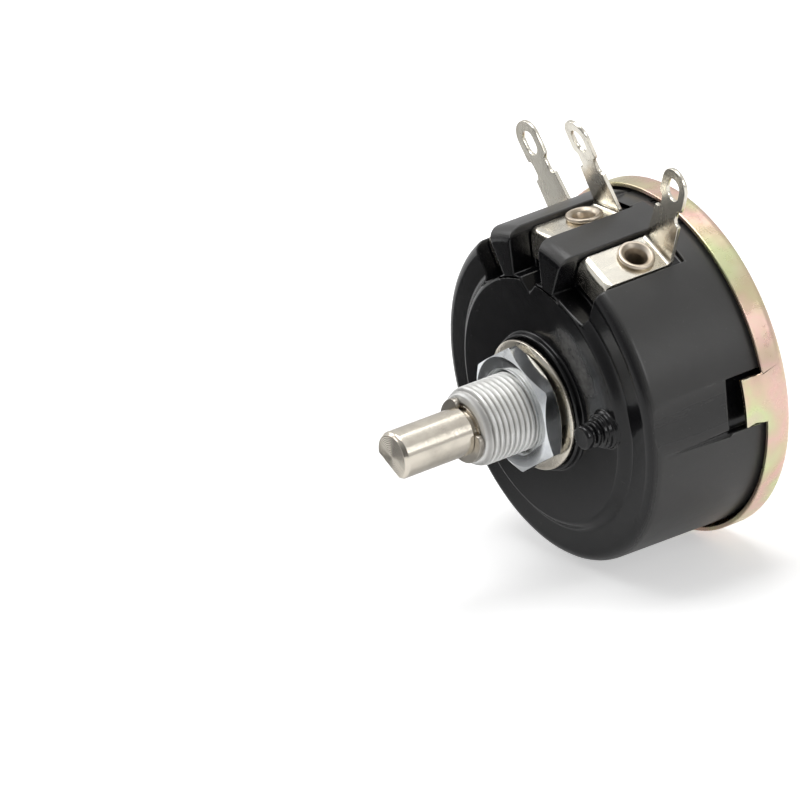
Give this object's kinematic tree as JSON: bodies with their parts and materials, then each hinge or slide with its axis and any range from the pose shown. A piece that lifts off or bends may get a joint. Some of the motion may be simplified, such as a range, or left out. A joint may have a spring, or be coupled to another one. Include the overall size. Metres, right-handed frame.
{
  "type": "wirewound rheostat",
  "caption": "Panel-mount wirewound rheostat with a moulded round housing, pressed rear cover, threaded bush with nut and bowed washer, flatted shaft, locating peg and bent solder lugs.",
  "frame": {"origin": "on the shaft's axis, in the plane of the boss that seats against the panel", "axes": "-Y along the shaft towards its free end, +Z towards the centre terminal, +X towards the locating peg"},
  "size_m": [0.044, 0.043, 0.0552],
  "materials": {
    "bakelite": "moulded black phenolic, glossy with worn edges",
    "bush_metal": "dull nickel plate",
    "shaft_metal": "turned, nickel plated",
    "ring_metal": "nickel plated",
    "washer_metal": "nickel plated",
    "nut_metal": "bright zinc plate",
    "terminal_metal": "tinned brass sheet",
    "eyelet_metal": "nickel plated brass",
    "card_paper": "varnished pressed board",
    "resistance_wire": "bare resistance wire",
    "liner_paper": "varnished fibre",
    "clip_brass": "brass sheet",
    "spring_bronze": "bronze spring sheet",
    "hub_phenolic": "moulded brown phenolic",
    "brush_metal": "sintered copper",
    "cover_steel": "yellow passivated zinc"
  },
  "bodies": {
    "body": {"housing": "bakelite", "bushing": "bush_metal", "terminal_right": "terminal_metal", "terminal_centre": "terminal_metal", "terminal_left": "terminal_metal", "eyelet_right": "eyelet_metal", "eyelet_centre": "eyelet_metal", "eyelet_left": "eyelet_metal", "winding_card": "card_paper", "resistance_winding": "resistance_wire", "insulating_liner": "liner_paper", "end_clip_right": "clip_brass", "end_clip_left": "clip_brass", "collector_leaf": "spring_bronze", "insulating_disc": "liner_paper", "cover": "cover_steel"},
    "rotor": {"shaft": "shaft_metal", "retaining_ring": "ring_metal", "thrust_washer": "ring_metal", "rotor_hub": "hub_phenolic", "collector_ring": "spring_bronze", "wiper_arm": "spring_bronze", "contact_brush": "brush_metal", "hub_clip": "ring_metal"},
    "washer": {"spring_washer": "washer_metal"},
    "nut": {"hex_nut": "nut_metal"}
  },
  "joints": [
    {"name": "shaft_turn", "type": "hinge", "parent": "body", "child": "rotor", "pos_m": [0, 0, 0], "axis": [0, -1, 0], "range_deg": [-104, 166]},
    {"name": "washer_slide", "type": "slide", "parent": "body", "child": "washer", "axis": [0, -1, 0], "range_m": [0, 0.0065]},
    {"name": "nut_turn", "type": "hinge", "parent": "washer", "child": "nut", "pos_m": [0, 0, 0], "axis": [0, -1, 0], "range_deg": [0, 3121]}
  ],
  "couplings": [
    {"joint": "nut_turn", "follows": "washer_slide", "rad_per_m": 8377.6}
  ]
}
